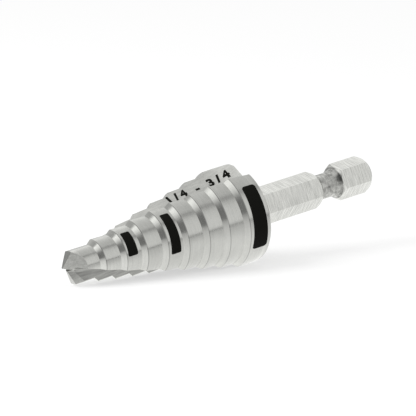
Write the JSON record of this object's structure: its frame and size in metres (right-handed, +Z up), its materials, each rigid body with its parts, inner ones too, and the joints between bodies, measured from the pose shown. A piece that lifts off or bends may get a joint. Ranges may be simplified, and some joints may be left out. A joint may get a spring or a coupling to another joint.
{
  "type": "step drill",
  "caption": "Solid stepped drill bit with a conical two-flute body for round holes of rising size in sheet metal, and a hex quick-change shank.",
  "frame": {"origin": "centre of the bounding box, on the surface that the bit lies on", "axes": "+X along the bit from tip to shank, seen from above, with the axis rising 8.57 degrees towards the shank; +Z up; +Y completes the right-handed frame"},
  "size_m": [0.0706, 0.019, 0.0187],
  "materials": {
    "ground_steel": "ground bright tool steel, with laser-blackened size marks"
  },
  "bodies": {
    "root": {"step_drill": "ground_steel"}
  },
  "joints": []
}
